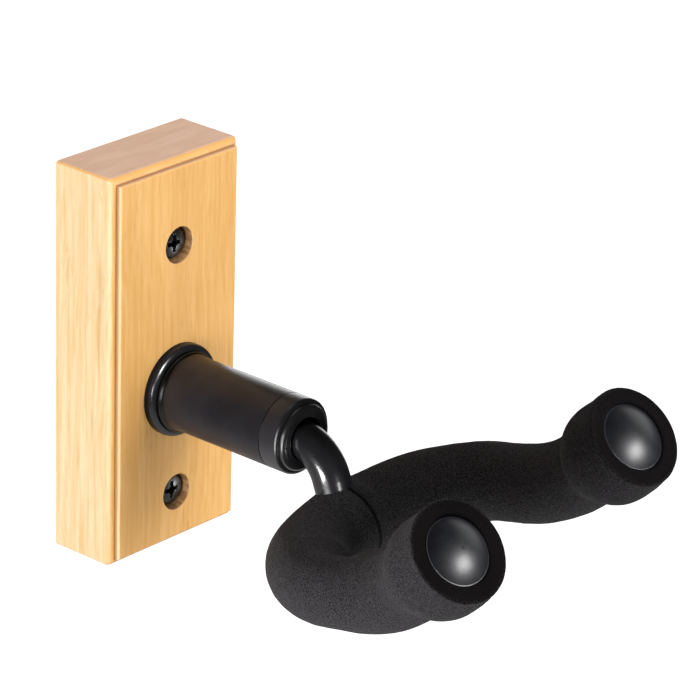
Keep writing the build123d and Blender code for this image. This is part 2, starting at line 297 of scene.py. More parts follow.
def end_grain(g, bands):
    """Colour and pores of the cut ends: pinkish brown, arcs of rings and open pores."""
    pores = g.cells(g.scaled(g.position, (1.0, 1.0, 0.2)), 1700.0)
    tone = g.stretched(g.position, (60.0, 190.0, 60.0), 3.0, 0.6)
    colour = g.mix(g.fit(tone, 0.34, 0.66), (0.760, 0.500, 0.360), (0.690, 0.440, 0.305))
    colour = g.mix(g.times(bands, 0.15), colour, (0.620, 0.370, 0.235))
    colour = g.mix(g.fit(pores, 0.16, 0.05, 0.0, 0.45), colour, (0.52, 0.290, 0.170))
    return colour, pores


def step_corner_shade(g):
    """1 in the corner of the thin step round the proud field, where painted shade goes."""
    x_over = g.math("SUBTRACT", g.size(g.x_mm), BLOCK_HALF_X - FIELD_INSET)
    z_over = g.math("SUBTRACT", g.size(g.z_mm), BLOCK_HALF_Z - FIELD_INSET)
    rim_gap = g.size(g.math("MAXIMUM", x_over, z_over))
    at_step = g.near(g.y_mm, SHOULDER_Y - 0.1, 0.35, 0.9)
    return g.times(g.fit(rim_gap, 0.15, 0.60, 1.0, 0.0), at_step)


def bored(g, centre_z, radius, depth_mask):
    """1 on the wall of a round pocket bored along Y."""
    return g.times(g.fit(g.radius(centre_z), radius + 0.05, radius + 0.25, 1.0, 0.0), depth_mask)


def wood_material():
    g = Graph("varnished_wood", Coat_Weight=0.18, Coat_Roughness=0.28, Coat_IOR=1.48)
    # growth rings about a tree axis behind the board, leaning a little along it
    sway = g.math("MULTIPLY_ADD", g.stretched(g.position, (26.0, 26.0, 9.0)), 0.010, -0.005)
    ring_x = g.math("ADD", g.math("SUBTRACT", g.x, 0.012), g.times(g.z, 0.05))
    ring_y = g.math("SUBTRACT", g.y, 0.085)
    bands = g.fit(g.noise_line(g.math("ADD", g.length(ring_x, ring_y), sway), 420.0), 0.3, 0.72)
    colour, wide, streaks, fibres, flecks = long_grain(g, bands)
    end_colour, pores = end_grain(g, bands)
    upright = g.size(g.split(g.normal)[2])
    end_face = g.fit(upright, 0.80, 0.97)
    colour = g.mix(end_face, colour, end_colour)
    # the rounded edges next to the end grain are painted honey orange: partly the bead's own colour, partly
    # painted light where the bead catches the light
    round_end = g.times(g.fit(upright, 0.25, 0.55), g.fit(upright, 0.97, 0.86))
    colour = g.mix(g.times(round_end, 0.75), colour, (0.780, 0.400, 0.110))
    # painted shade: a dark brown line in the corner of the step round the field
    colour = g.mix(g.times(step_corner_shade(g), 0.85), colour, (0.400, 0.180, 0.060))
    # darker colour on the bored walls of the screw pockets and of the pocket in the back: partly the raw
    # end-cut wood, partly painted shade in the recesses
    raw_wall_and_shade_tone = g.stretched(g.position, (900.0, 260.0, 900.0), 3.0, 0.65)
    raw_wall_and_shade = g.mix(g.fit(raw_wall_and_shade_tone, 0.36, 0.64), (0.500, 0.285, 0.130), (0.270, 0.135, 0.055))
    below_field = g.fit(g.y_mm, FIELD_Y + 0.10, FIELD_Y + 0.45)
    inside = g.times(below_field, g.fit(g.y_mm, POCKET_FLOOR_Y + 0.7, POCKET_FLOOR_Y + 0.3))
    for centre_z in SCREW_ZS.values():
        colour = g.mix(bored(g, centre_z, POCKET_RADIUS, inside), colour, raw_wall_and_shade)
    below_back = g.fit(g.y_mm, -0.1, -0.4)
    colour = g.mix(bored(g, AXIS_Z, BOLT_POCKET_RADIUS, below_back), colour, raw_wall_and_shade)
    # the back is paler and less polished
    back = g.fit(g.y_mm, -0.45, -0.1)
    colour = g.mix(g.times(back, 0.35), colour, (0.720, 0.470, 0.250))
    roughness = g.math("ADD", g.math("MULTIPLY_ADD", streaks, 0.10, 0.34), g.times(back, 0.22))
    roughness = g.math("MULTIPLY_ADD", end_face, 0.22, roughness)
    grain = g.math("ADD", g.times(fibres, 0.5), g.times(flecks, -0.4))
    grain = g.math("ADD", grain, g.times(g.times(end_face, pores), 0.6))
    surface = g.bump(wide, 0.25, 0.00035, g.bump(grain, 0.35, 0.00006))
    return g.give(Base_Color=colour, Roughness=roughness, Normal=surface)


class BlackFinish:
    """A dark lacquer or powder coat: fine orange peel, slow tone changes, faint rubbed patches."""

    def __init__(self, name, colour, worn, rough, grain=2600.0, depth=0.00002, spread=0.10, **shader):
        self.graph = g = Graph(name, **shader)
        peel = g.noise(g.position, grain, 2.0, 0.6)
        slow = g.noise(g.position, 90.0, 3.0, 0.6)
        rubbed = g.fit(g.noise(g.position, 320.0, 4.0, 0.7), 0.54, 0.74)
        tone = g.mix(g.fit(slow, 0.3, 0.7), colour, tuple(v * 1.35 + 0.001 for v in colour))
        self.tone = g.mix(g.times(rubbed, 0.35), tone, worn)
        peel_rough = g.math("MULTIPLY_ADD", peel, spread, rough - spread / 2)
        self.rough = g.math("ADD", peel_rough, g.times(rubbed, -0.05))
        self.surface = g.bump(peel, 0.5, depth)

    def seam_groove_shade(self):
        """Painted shade: a near-black line along the fine groove between the tube and its cap, with a bump
        that sinks it.
        """
        g = self.graph
        seam = g.near(g.y_mm, TUBE_FRONT_Y, 0.11, 0.10)
        self.tone = g.mix(seam, self.tone, (0.001, 0.001, 0.001))
        self.surface = g.bump(g.math("SUBTRACT", 1.0, seam), 1.0, 0.00012, self.surface)

    def give(self, **links):
        return self.graph.give(Base_Color=self.tone, Roughness=self.rough, Normal=self.surface, **links)


def tube_material():
    """Matt powder coat with a glossy, darker foot next to the collar."""
    colour, worn = (0.0240, 0.0216, 0.0262), (0.036, 0.033, 0.038)
    coat = BlackFinish("tube_powder_coat", colour, worn, 0.38, 3000.0, 0.00004, Specular_IOR_Level=0.28)
    g = coat.graph
    foot = g.fit(g.y_mm, FOOT_FRONT_Y + 0.2, FOOT_FRONT_Y + 1.6)
    coat.seam_groove_shade()
    coat.tone = g.mix(foot, coat.tone, (0.0045, 0.0042, 0.0050))
    coat.rough = g.math("MULTIPLY_ADD", foot, -0.14, coat.rough)
    return coat.give()


def collar_material():
    """Satin black, dull on the flank next to the wood."""
    coat = BlackFinish("collar_satin_black", (0.0030, 0.0030, 0.0036), (0.009, 0.009, 0.010), 0.26, 3200.0)
    g = coat.graph
    flank = g.fit(g.y_mm, COLLAR_FLANK_Y, COLLAR_FLANK_Y + 1.0)
    return coat.give(Specular_IOR_Level=g.math("MULTIPLY_ADD", flank, -0.38, 0.44))


def cap_material():
    """Satin black lip; behind its shoulder the cap is matt like the tube."""
    colour, worn = (0.0060, 0.0058, 0.0066), (0.022, 0.021, 0.023)
    coat = BlackFinish("cap_satin_black", colour, worn, 0.30, 3400.0, Coat_Weight=0.25, Coat_Roughness=0.22)
    g = coat.graph
    body = g.fit(g.y_mm, CAP_SHOULDER_Y + 0.4, CAP_SHOULDER_Y + 1.4)
    coat.tone = g.mix(g.times(body, 0.8), coat.tone, (0.0250, 0.0228, 0.0268))
    coat.rough = g.math("ADD", coat.rough, g.times(body, 0.16))
    coat.seam_groove_shade()
    return coat.give()


def stem_material():
    colour, worn = (0.0040, 0.0036, 0.0042), (0.012, 0.011, 0.012)
    return BlackFinish("stem_satin_black", colour, worn, 0.20, Coat_Weight=0.20, Coat_Roughness=0.12).give()


def bar_material():
    colour, worn = (0.0100, 0.0095, 0.0095), (0.032, 0.030, 0.030)
    return BlackFinish("bar_black", colour, worn, 0.45, 2200.0, 0.00004).give()


def screw_material():
    colour, worn = (0.0035, 0.0034, 0.0042), (0.018, 0.018, 0.020)
    gloss = {"Coat_Weight": 0.25, "Coat_Roughness": 0.12, "Specular_IOR_Level": 0.45}
    return BlackFinish("screw_black_oxide", colour, worn, 0.22, 3600.0, spread=0.08, **gloss).give()


def foam_material():
    g = Graph("foam_rubber", Specular_IOR_Level=0.15, Sheen_Weight=0.04, Sheen_Roughness=0.45)
    speck = g.noise(g.position, 2500.0, 2.0, 0.7)
    clump = g.noise(g.position, 420.0, 3.0, 0.6)
    slow = g.noise(g.position, 60.0, 2.0, 0.5)
    pits = g.cells(g.position, 1500.0)
    tone = g.mix(g.fit(speck, 0.38, 0.62), (0.0060, 0.0054, 0.0060), (0.0640, 0.0590, 0.0640))
    tone = g.mix(g.fit(clump, 0.35, 0.65, 0.0, 0.15), tone, (0.0240, 0.0222, 0.0240))
    tone = g.mix(g.fit(slow, 0.3, 0.7, 0.0, 0.20), tone, (0.0420, 0.0395, 0.0420))
    # the knife-cut end face is smoother and darker than the skin
    cut = g.add("ShaderNodeAttribute", attribute_name="cut_face").outputs["Fac"]
    seam = g.add("ShaderNodeAttribute", attribute_name="seam").outputs["Fac"]
    cut_tone = g.mix(g.fit(speck, 0.35, 0.65), (0.0190, 0.0160, 0.0182), (0.0290, 0.0248, 0.0278))
    tone = g.mix(cut, tone, cut_tone)
    # painted shade: near black where the sleeves meet, at the lip round the cap and inside the hole
    tone = g.mix(g.times(seam, 0.85), tone, (0.004, 0.004, 0.004))
    height = g.math("ADD", g.times(speck, 0.8), g.times(pits, 0.5))
    height = g.times(height, g.math("MULTIPLY_ADD", cut, -0.65, 1.0))
    surface = g.bump(clump, 0.35, 0.00018, g.bump(height, 0.75, 0.00022))
    return g.give(Base_Color=tone, Roughness=g.math("MULTIPLY_ADD", speck, 0.10, 0.84), Normal=surface)


def dome_material():
    g = Graph("tip_cap_plastic", Coat_Weight=0.30, Coat_Roughness=0.30, Specular_IOR_Level=0.6)
    haze = g.noise(g.position, 260.0, 4.0, 0.65)
    fine = g.noise(g.position, 3800.0, 2.0, 0.6)
    scuff = g.fit(g.stretched(g.position, (240.0, 900.0, 240.0), 3.0, 0.7), 0.60, 0.78)
    tone = g.mix(g.fit(haze, 0.35, 0.65), (0.0040, 0.0044, 0.0075), (0.0075, 0.0082, 0.0125))
    tone = g.mix(g.times(scuff, 0.25), tone, (0.022, 0.023, 0.028))
    rough = g.math("ADD", g.math("MULTIPLY_ADD", haze, 0.12, 0.36), g.times(scuff, 0.10))
    return g.give(Base_Color=tone, Roughness=rough, Normal=g.bump(fine, 0.35, 0.00002))


def metal_finish(name, colour, dull, rough, stretch):
    """Bare metal with fine marks along one direction and dull clouds."""
    g = Graph(name, Metallic=1.0)
    brushed = g.stretched(g.position, stretch, 3.0, 0.6)
    cloud = g.noise(g.position, 240.0, 4.0, 0.65)
    tone = g.mix(g.fit(cloud, 0.35, 0.70), colour, dull)
    tone = g.mix(g.fit(brushed, 0.5, 0.75, 0.0, 0.35), tone, tuple(v * 0.55 for v in colour))
    marked = g.math("MULTIPLY_ADD", brushed, 0.16, rough - 0.08)
    rough_value = g.math("ADD", marked, g.fit(cloud, 0.5, 0.8, 0.0, 0.12))
    return g.give(Base_Color=tone, Roughness=rough_value, Normal=g.bump(brushed, 0.4, 0.00003))


def nylon_material():
    g = Graph("black_nylon", Specular_IOR_Level=0.4)
    cloud = g.noise(g.position, 300.0, 3.0, 0.6)
    lines = g.stretched(g.position, (500.0, 6000.0, 500.0), 2.0, 0.6)
    tone = g.mix(g.fit(cloud, 0.3, 0.7), (0.0090, 0.0088, 0.0090), (0.0150, 0.0145, 0.0145))
    tone = g.mix(g.fit(lines, 0.5, 0.75, 0.0, 0.3), tone, (0.028, 0.027, 0.027))
    rough = g.math("MULTIPLY_ADD", lines, 0.15, 0.36)
    return g.give(Base_Color=tone, Roughness=rough, Normal=g.bump(lines, 0.4, 0.00003))


def weld_material():
    g = Graph("painted_weld", Specular_IOR_Level=0.5)
    lumps = g.noise(g.position, 900.0, 4.0, 0.65)
    beads = g.cells(g.position, 620.0)
    tone = g.mix(g.fit(lumps, 0.35, 0.65), (0.012, 0.012, 0.013), (0.030, 0.028, 0.028))
    height = g.math("ADD", g.times(beads, 0.8), g.times(lumps, 0.4))
    rough = g.math("MULTIPLY_ADD", lumps, 0.2, 0.32)
    return g.give(Base_Color=tone, Roughness=rough, Normal=g.bump(height, 0.8, 0.0004))


nylon = nylon_material()
dome_plastic = dome_material()
zinc = metal_finish("zinc_plate", (0.62, 0.63, 0.64), (0.46, 0.47, 0.48), 0.34, (700.0, 700.0, 2600.0))
bright = metal_finish("bright_steel", (0.56, 0.56, 0.57), (0.42, 0.41, 0.40), 0.28, (2600.0, 300.0, 2600.0))
spring = metal_finish("spring_steel", (0.30, 0.29, 0.30), (0.20, 0.18, 0.17), 0.30, (2400.0, 400.0, 2400.0))

materials = {
    "wood_block": wood_material(),
    "collar_ring": collar_material(),
    "swivel_tube": tube_material(),
    "end_cap": cap_material(),
    "tube_plug": bright,
    "bolt_washer": zinc,
    "fixing_bolt": zinc,
    "front_bush": nylon,
    "rear_bush": nylon,
    "thrust_washer": nylon,
    "swivel_stem": stem_material(),
    "stem_weld": weld_material(),
    "yoke_bar": bar_material(),
    "cone_spring": spring,
    "retaining_clip": spring,
    "tip_cap_right": dome_plastic,
    "tip_cap_left": dome_plastic,
}
for name, material in materials.items():
    for material_slot in nodes[name].material_slots:
        material_slot.material = material
foam_rubber = foam_material()
screw_black = screw_material()


# ---------------------------------------------------------------- mesh helpers
def make_piece(name, points, faces, material):
    mesh = bpy.data.meshes.new(name)
    mesh.from_pydata(points, [], faces)
    mesh.validate()
    mesh.materials.append(material)
    for polygon in mesh.polygons:
        polygon.use_smooth = True
    piece = bpy.data.objects.new(name, mesh)
    scene.collection.objects.link(piece)
    return piece


def ring_faces(rings, count):
    """Quads between neighbouring rings of count points; the last ring joins the first."""
    faces = []
    for r in range(rings):
        a, b = r * count, ((r + 1) % rings) * count
        for i in range(count):
            j = (i + 1) % count
            faces.append((a + i, b + i, b + j, a + j))
    return faces


# ---------------------------------------------------------------- foam sleeves
YOKE_X = Vector((math.cos(REST_TURN), 0.0, math.sin(REST_TURN)))
YOKE_Y = Vector((0.0, 1.0, 0.0))
YOKE_Z = Vector((-math.sin(REST_TURN), 0.0, math.cos(REST_TURN)))
YOKE_ORIGIN = Vector((0.0, 0.0, AXIS_Z))


def yoke_way(v):
    """A direction given in the yoke's own axes, turned to its rest angle."""
    return YOKE_X * v[0] + YOKE_Y * v[1] + YOKE_Z * v[2]


FORWARD = Vector((0.0, -math.cos(YOKE_RISE), math.sin(YOKE_RISE)))
NORMAL = Vector((0.0, math.sin(YOKE_RISE), math.cos(YOKE_RISE)))
BAR_MIDDLE = Vector((0.0, STEM_CORNER_Y, 0.0)) - NORMAL * STEM_DROP


def arm_station(side, s):
    """Point, heading, outward side and top of the arm's centre line at length s from its middle."""
    across = Vector((side, 0.0, 0.0))
    point = BAR_MIDDLE + across * min(s, ARM_START)
    turn = 0.0
    s -= ARM_START
    if s > 0:
        turn = min(s / SIDE_RADIUS, SIDE_ANGLE)
        point += across * (SIDE_RADIUS * math.sin(turn))
        point += FORWARD * (SIDE_RADIUS * (1 - math.cos(turn)))
        s -= SIDE_RADIUS * SIDE_ANGLE
    heading = across * math.cos(turn) + FORWARD * math.sin(turn)
    outward = across * math.sin(turn) - FORWARD * math.cos(turn)
    top = NORMAL.copy()
    if s > 0:
        point += heading * min(s, ARM_STRAIGHT)
        s -= ARM_STRAIGHT
    if s > 0:
        lift = min(s / RISE_RADIUS, RISE_ANGLE)
        point += heading * (RISE_RADIUS * math.sin(lift)) + top * (RISE_RADIUS * (1 - math.cos(lift)))
        heading, top = (
            heading * math.cos(lift) + top * math.sin(lift),
            top * math.cos(lift) - heading * math.sin(lift),
        )
        s -= RISE_RADIUS * RISE_ANGLE
        if s > 0:
            point += heading * s
    return point, heading, outward, top


def ease(value, low, high):
    t = min(1.0, max(0.0, (value - low) / (high - low)))
    return t * t * (3.0 - 2.0 * t)


# vertices round the sleeve, and the spacing of its rings
FOAM_AROUND = 144
FOAM_STEP = 0.5
# rounding of the sleeve's two ends, and how far it hangs below the bar's centre line
START_ROUND = 0.8
RIM_ROUND = 0.60
SAG = 0.42
TIP_START = ARM_LENGTH - TIP_LENGTH
# play round the tip cap, how far the foam laps over its rim, and play round the bar
CAP_GAP = 0.22
CAP_LIP = 0.42
BAR_GAP = 0.1
# the sleeve's hole at its tip: depth behind the end face, radius
SOCKET = [
    (0.50, CAP_RADIUS - CAP_LIP + 0.02),
    (1.3, CAP_RADIUS + CAP_GAP),
    (3.0, CAP_RADIUS + CAP_GAP),
    (15.8, CAP_RADIUS + CAP_GAP),
    (16.9, 7.3),
    (17.4, ROD_RADIUS + BAR_GAP),
]


def outer_stations():
    """Lengths along the arm with the inset of the radius there, for the rounded ends."""
    stations = []
    for k in range(5):
        angle = math.pi / 2 * k / 4
        inset = START_ROUND * (1 - math.sin(angle))
        stations.append((0.03 + START_ROUND * (1 - math.cos(angle)), inset))
    s = 0.03 + START_ROUND + FOAM_STEP
    while s < ARM_LENGTH - RIM_ROUND - 0.1:
        stations.append((s, 0.0))
        s += FOAM_STEP * (0.5 if abs(s - TIP_START) < 2.2 else 1.0)
    for k in range(7):
        angle = math.pi / 2 * k / 6
        inset = RIM_ROUND * (1 - math.cos(angle))
        stations.append((ARM_LENGTH - RIM_ROUND * (1 - math.sin(angle)), inset))
    return stations


def skin_radius(side, s, around_angle, seed):
    """The sleeve's outer radius: pressed at the joint, gathered inside the bend, full at the tip.

    Angles go from the arm's outward side, 0 degrees, over its top, 90 degrees.
    """
    radius = FOAM_RADIUS

    def toward(degrees, power=2):
        return max(0.0, math.cos(around_angle - math.radians(degrees))) ** power

    # gathered inside the side bend, stretched outside it
    bend = 1 - ease(s, 34.0, 54.0)
    radius += bend * (2.7 * toward(196.0) - 0.60 * ease(s, 4.0, 16.0) * toward(0.0))
    # pressed down behind the stem and swollen up in front of it, round the slit
    radius -= 0.55 * (1 - ease(s, 6.0, 30.0)) * toward(70.0)
    radius += 1.5 * (1 - ease(s, 3.0, 9.0)) * toward(128.0)
    # the near arm folds over itself behind its tip
    if side < 0:
        radius -= 3.4 * ease(s, 34.0, 50.0) * (1 - ease(s, 57.0, 68.0)) * toward(140.0)
        radius += 1.0 * ease(s, 60.0, 70.0) * (1 - ease(s, 80.0, 92.0)) * toward(140.0)
    # the fat tip: a crease underneath and on the inner and outer top, an easy swell elsewhere
    creased = min(1.0, toward(270.0, 1) + 0.7 * toward(72.0, 4) + 0.8 * toward(145.0, 3))
    u = min(1.0, max(0.0, (s - TIP_START) / 9.5))
    easy = ease(s, TIP_START - 6.5, TIP_START + 8.5)
    swell = creased * (1 - (1 - u) ** 2.3) + (1 - creased) * easy
    along = min(1.0, max(0.0, (s - TIP_START) / TIP_LENGTH))
    crown = math.sin(math.pi * along)
    fat = TIP_RADIUS + 0.10 * crown + 0.40 * crown * toward(270.0, 1)
    radius += (fat - radius) * swell
    waver = noise.noise(seed * 0.09) * 0.16 + noise.noise(seed * 0.33) * 0.07
    return radius + waver + noise.noise(seed * 1.05) * 0.035


def ways_around(outward, top):
    """Directions square to the arm, one for each vertex of a ring."""
    angles = [2 * math.pi * i / FOAM_AROUND for i in range(FOAM_AROUND)]
    return [(angle, outward * math.cos(angle) + top * math.sin(angle)) for angle in angles]


class SleeveSkin:
    """Vertices of a sleeve with the masks for its cut face and for the painted shade in its seams, at its
    lip and inside its hole.
    """

    def __init__(self, side):
        self.side = side
        self.points = []
        self.cut = []
        self.seam = []

    def add(self, point, cut, seam):
        self.points.append(point)
        self.cut.append(cut)
        self.seam.append(seam)

    def outside(self):
        for s, inset in outer_stations():
            centre, _, outward, top = arm_station(self.side, s)
            droop = SAG * ease(s, 0.0, 14.0) * (1 - 0.75 * ease(s, ARM_LENGTH - 6.0, ARM_LENGTH))
            centre = centre - top * droop
            for angle, way in ways_around(outward, top):
                seed = centre + way * FOAM_RADIUS + Vector((self.side * 37.0, 11.0, 5.0))
                local = centre + way * (skin_radius(self.side, s, angle, seed) - inset)
                self.add((YOKE_ORIGIN + yoke_way(local)) * MM, 0.0, 1.0 - ease(s, 0.25, 1.0))

    def end_face(self, rings=8):
        """From the rim in to the lip that laps over the cap's edge."""
        centre, heading, outward, top = arm_station(self.side, ARM_LENGTH)
        rim = [Vector(point) for point in self.points[-FOAM_AROUND:]]
        for k in range(1, rings + 1):
            share = k / rings
            lip = 0.35 * ease(share, 0.8, 1.0)
            for (_, way), start in zip(ways_around(outward, top), rim):
                inner = (YOKE_ORIGIN + yoke_way(centre + way * (CAP_RADIUS - CAP_LIP))) * MM
                uneven = noise.noise(Vector((way.x * 2.2 + self.side, way.y * 2.2, way.z * 2.2))) * 0.10
                dish = uneven - 0.10 * math.sin(math.pi * share)
                point = start.lerp(inner, share) + yoke_way(heading) * ((dish - lip) * MM)
                self.add(point, ease(share, 0.0, 0.14), ease(share, 0.93, 1.0) * 0.8)

    def inside(self):
        """Down beside the cap, then back along the bar to the sleeve's start."""
        centre, heading, outward, top = arm_station(self.side, ARM_LENGTH)
        for depth, radius in SOCKET:
            for _, way in ways_around(outward, top):
                local = centre + way * radius - heading * depth
                self.add((YOKE_ORIGIN + yoke_way(local)) * MM, 1.0, 0.8)
        s = ARM_LENGTH - 19.0
        bar_stations = []
        while s > 0.4:
            bar_stations.append(s)
            s -= 2.0
        for s in [*bar_stations, 0.02]:
            centre, _, outward, top = arm_station(self.side, s)
            for _, way in ways_around(outward, top):
                local = centre + way * (ROD_RADIUS + BAR_GAP)
                self.add((YOKE_ORIGIN + yoke_way(local)) * MM, 1.0, 0.9)


def foam_sleeve(side, name):
    skin = SleeveSkin(side)
    skin.outside()
    skin.end_face()
    skin.inside()
    faces = ring_faces(len(skin.points) // FOAM_AROUND, FOAM_AROUND)
    if side > 0:
        faces = [tuple(reversed(face)) for face in faces]
    piece = make_piece(name, skin.points, faces, foam_rubber)
    for label, values in (("cut_face", skin.cut), ("seam", skin.seam)):
        layer = piece.data.attributes.new(label, "FLOAT", "POINT")
        layer.data.foreach_set("value", values)
    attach(piece, "yoke")
    return piece


for side, label in ((1, "right"), (-1, "left")):
    sleeve = foam_sleeve(side, f"foam_tube_{label}")
    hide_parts(f"foam_sleeve_{label}")


# ---------------------------------------------------------------- turned housing pieces
def arc(centre_r, centre_y, radius, start, stop, count=10):
    """Points of an arc in a turned profile; angles in degrees from the radius towards +Y."""
    turns = [math.radians(start + (stop - start) * k / count) for k in range(count + 1)]
    return [(centre_r + radius * math.cos(t), centre_y + radius * math.sin(t)) for t in turns]


def turned(name, node, profile):
    """Revolve a closed profile of (radius, y) in mm about the swivel axis."""
    around = 192
    points = []
    for r, y in profile:
        for i in range(around):
            angle = 2 * math.pi * i / around
            points.append(Vector((r * math.cos(angle), y, AXIS_Z + r * math.sin(angle))) * MM)
    piece = make_piece(name, points, ring_faces(len(profile), around), materials[node])
    piece.data.set_sharp_from_angle(angle=math.radians(34.0))
    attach(piece, "base")
    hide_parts(node)


SEAM_BEVEL = 0.14


def tube_profile():
    """Spigot, rounded foot in front of the collar, and the barrel up to the cap's seam."""
    spigot_chamfer = 0.2
    foot_rear_y = -26.25
    profile = [
        (TUBE_BORE_RADIUS, SPIGOT_REAR_Y),
        (SPIGOT_RADIUS - spigot_chamfer, SPIGOT_REAR_Y),
        (SPIGOT_RADIUS, SPIGOT_REAR_Y - spigot_chamfer),
        (SPIGOT_RADIUS, foot_rear_y),
        (TUBE_RADIUS - 0.1, foot_rear_y),
        (TUBE_RADIUS + 0.3, foot_rear_y - 0.35),
    ]
    # the foot's bead, then the hollow that runs out into the barrel
    profile += arc(TUBE_RADIUS, -27.6, 0.85, 60, -42, 12)
    profile += arc(TUBE_RADIUS + 1.45, -29.0, 1.25, 138, 176, 8)
    profile += [
        (TUBE_RADIUS + 0.12, FOOT_FRONT_Y),
        (TUBE_RADIUS, FOOT_FRONT_Y - 1.8),
        (TUBE_RADIUS, FOOT_FRONT_Y - 17.8),
        (TUBE_RADIUS, TUBE_FRONT_Y + SEAM_BEVEL),
        (TUBE_RADIUS - SEAM_BEVEL, TUBE_FRONT_Y),
        (TUBE_BORE_RADIUS, TUBE_FRONT_Y),
    ]
    return profile


def cap_profile():
    """Spigot in the tube, short barrel, shoulder, notch, rolled lip and open mouth."""
    spigot_radius = 8.75
    shoulder, notch_radius = 1.20, 9.55
    roll, roll_radius, roll_y = 1.65, 8.35, -72.55
    mouth_round = 0.45
    mouth_round_y = -73.65
    profile = [
        (spigot_radius, CAP_REAR_Y),
        (spigot_radius, TUBE_FRONT_Y),
        (TUBE_RADIUS - SEAM_BEVEL, TUBE_FRONT_Y),
        (TUBE_RADIUS, TUBE_FRONT_Y - SEAM_BEVEL),
    ]
    profile += arc(TUBE_RADIUS - shoulder, CAP_SHOULDER_Y + shoulder, shoulder, 0, -80)
    profile += [(notch_radius, CAP_SHOULDER_Y), (notch_radius, CAP_SHOULDER_Y - 0.28)]
    profile += arc(roll_radius, roll_y, roll, -14, -90, 16)
    profile += [(CAP_MOUTH_RADIUS + 0.5, mouth_round_y - mouth_round)]
    profile += arc(CAP_MOUTH_RADIUS + mouth_round, mouth_round_y, mouth_round, -90, -180, 8)
    profile += [
        (CAP_MOUTH_RADIUS, BUSH_SEAT_Y),
        (BUSH_SEAT_RADIUS, BUSH_SEAT_Y),
        (BUSH_SEAT_RADIUS, CAP_REAR_Y),
    ]
    return profile


turned("tube_shell", "swivel_tube", tube_profile())
turned("cap_shell", "end_cap", cap_profile())


# ---------------------------------------------------------------- wall screws
SCREW_AROUND = 96
HEAD_RADIUS = 4.55
HEAD_ROUND = 0.35
HEAD_RIM_Y = -21.2
HEAD_CROWN_Y = -21.9
NECK_RADIUS = 1.75
NECK_FILLET = 0.3
THREAD_ROOT = 1.45
THREAD_CREST = 2.1
THREAD_PITCH = 2.1
THREAD_STEP = 0.12
SCREW_REACH = 19.0
SCREW_POINT = 5.0
RECESS_DEPTH = 2.0


def crown_y(r, x, z):
    """Front of the screw's head: a low dome with the tapered cross recess pressed in."""
    lift = (HEAD_CROWN_Y - HEAD_RIM_Y + HEAD_ROUND) * (1 - (r / HEAD_RADIUS) ** 2)
    off_arm, along_arm = sorted((abs(x), abs(z)))
    slot = (1 - ease(off_arm, 0.42, 0.62)) * (1 - ease(along_arm, 2.15, 2.75))
    core = 1 - ease(r, 0.95, 1.35)
    depth = RECESS_DEPTH * max(slot * (1 - 0.35 * along_arm / 2.6), core)
    return HEAD_RIM_Y - HEAD_ROUND + lift + depth


def thread_radius(y, turn):
    """A rolled ridge on a shank that tapers to its point; turn counts from 0 to 1 round the screw."""
    taper = 1 - ease(y, SCREW_REACH - SCREW_POINT, SCREW_REACH) * 0.93
    phase = (y / THREAD_PITCH - turn) % 1.0
    ridge = max(0.0, 1 - abs(phase - 0.5) / 0.24) ** 0.9
    run_in = ease(y, 0.0, 1.4)
    return (THREAD_ROOT + (THREAD_CREST - THREAD_ROOT) * ridge * run_in) * taper


def screw_rings(centre_z):
    """Rings of vertices from the middle of the head to the screw's tip."""
    turns = [i / SCREW_AROUND for i in range(SCREW_AROUND)]

    def ring(radius, height):
        """radius and height are numbers, or functions of the turn and of the place."""
        spots = []
        for turn in turns:
            r = radius(turn) if callable(radius) else radius
            x, z = r * math.cos(2 * math.pi * turn), r * math.sin(2 * math.pi * turn)
            y = height(r, x, z) if callable(height) else height
            spots.append(Vector((x, y, centre_z + z)) * MM)
        return spots

    flat_radius = HEAD_RADIUS - HEAD_ROUND
    head_steps = 40
    rings = [ring(flat_radius * k / head_steps, crown_y) for k in range(head_steps + 1)]
    for k in range(1, 7):
        angle = math.pi / 2 * k / 6
        rise = HEAD_ROUND * (1 - math.cos(angle))
        rings.append(ring(flat_radius + HEAD_ROUND * math.sin(angle), HEAD_RIM_Y - HEAD_ROUND + rise))
    under_head = [
        (HEAD_RADIUS, POCKET_FLOOR_Y - 0.3),
        (HEAD_RADIUS - 0.3, POCKET_FLOOR_Y),
        (NECK_RADIUS + NECK_FILLET, POCKET_FLOOR_Y),
        (NECK_RADIUS, POCKET_FLOOR_Y + NECK_FILLET),
        (NECK_RADIUS, -0.6),
        (NECK_RADIUS, 0.0),
    ]
    rings += [ring(r, y) for r, y in under_head]
    y = THREAD_STEP
    while y < SCREW_REACH - 0.05:
        rings.append(ring(lambda turn, y=y: thread_radius(y, turn), y))
        y += THREAD_STEP
    rings.append(ring(0.04, SCREW_REACH))
    return rings


def wall_screw(name, centre_z):
    """Pan head with a tapered cross recess, plain neck, and a rolled thread ending in a point."""
    rings = screw_rings(centre_z)
    tip = Vector((0.0, SCREW_REACH, centre_z)) * MM
    # the first ring has no radius, so one vertex stands for it
    points = [rings[0][0]] + [spot for ring in rings[1:] for spot in ring] + [tip]
    last = 1 + (len(rings) - 2) * SCREW_AROUND
    edges = [(i, (i + 1) % SCREW_AROUND) for i in range(SCREW_AROUND)]
    faces = [(0, 1 + j, 1 + i) for i, j in edges]
    for a in range(1, last, SCREW_AROUND):
        b = a + SCREW_AROUND
        faces += [(a + i, a + j, b + j, b + i) for i, j in edges]
    faces += [(last + i, last + j, len(points) - 1) for i, j in edges]
    piece = make_piece(name + "_turned", points, faces, screw_black)
    piece.data.set_sharp_from_angle(angle=math.radians(40.0))
    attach(piece, "base")
    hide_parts(name)


for name, centre_z in SCREW_ZS.items():
    wall_screw(name, centre_z)


